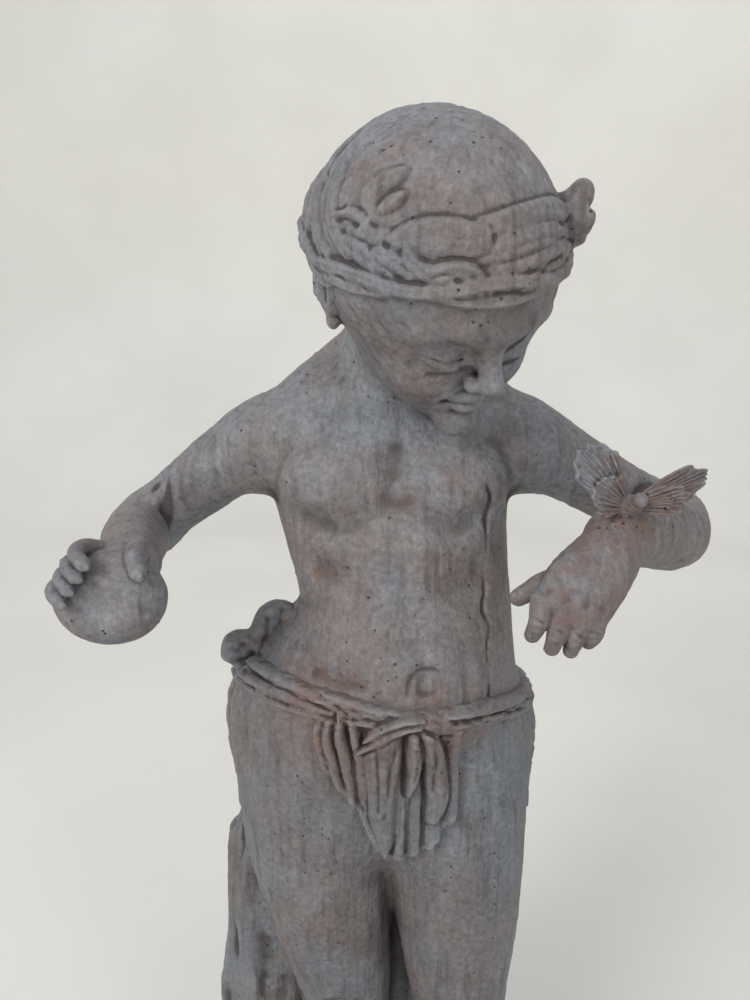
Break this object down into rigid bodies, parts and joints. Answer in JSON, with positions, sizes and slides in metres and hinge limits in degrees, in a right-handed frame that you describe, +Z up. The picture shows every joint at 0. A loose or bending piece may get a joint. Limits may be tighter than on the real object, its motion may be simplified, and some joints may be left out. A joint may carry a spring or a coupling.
{
  "type": "garden statue",
  "caption": "Small standing child with bowed head, tied loincloth and a butterfly on one wrist, cast in one with a tree trunk and a low oval base.",
  "frame": {"origin": "middle of the base's flat underside, on the ground", "axes": "+Z up; the child faces -Y, and its left hand with the butterfly is towards +X"},
  "size_m": [0.4258, 0.2998, 0.9049],
  "materials": {
    "weathered_casting": "weathered dark grey with rust-brown and ochre patches, matte"
  },
  "bodies": {
    "root": {"statue": "weathered_casting"}
  },
  "joints": []
}
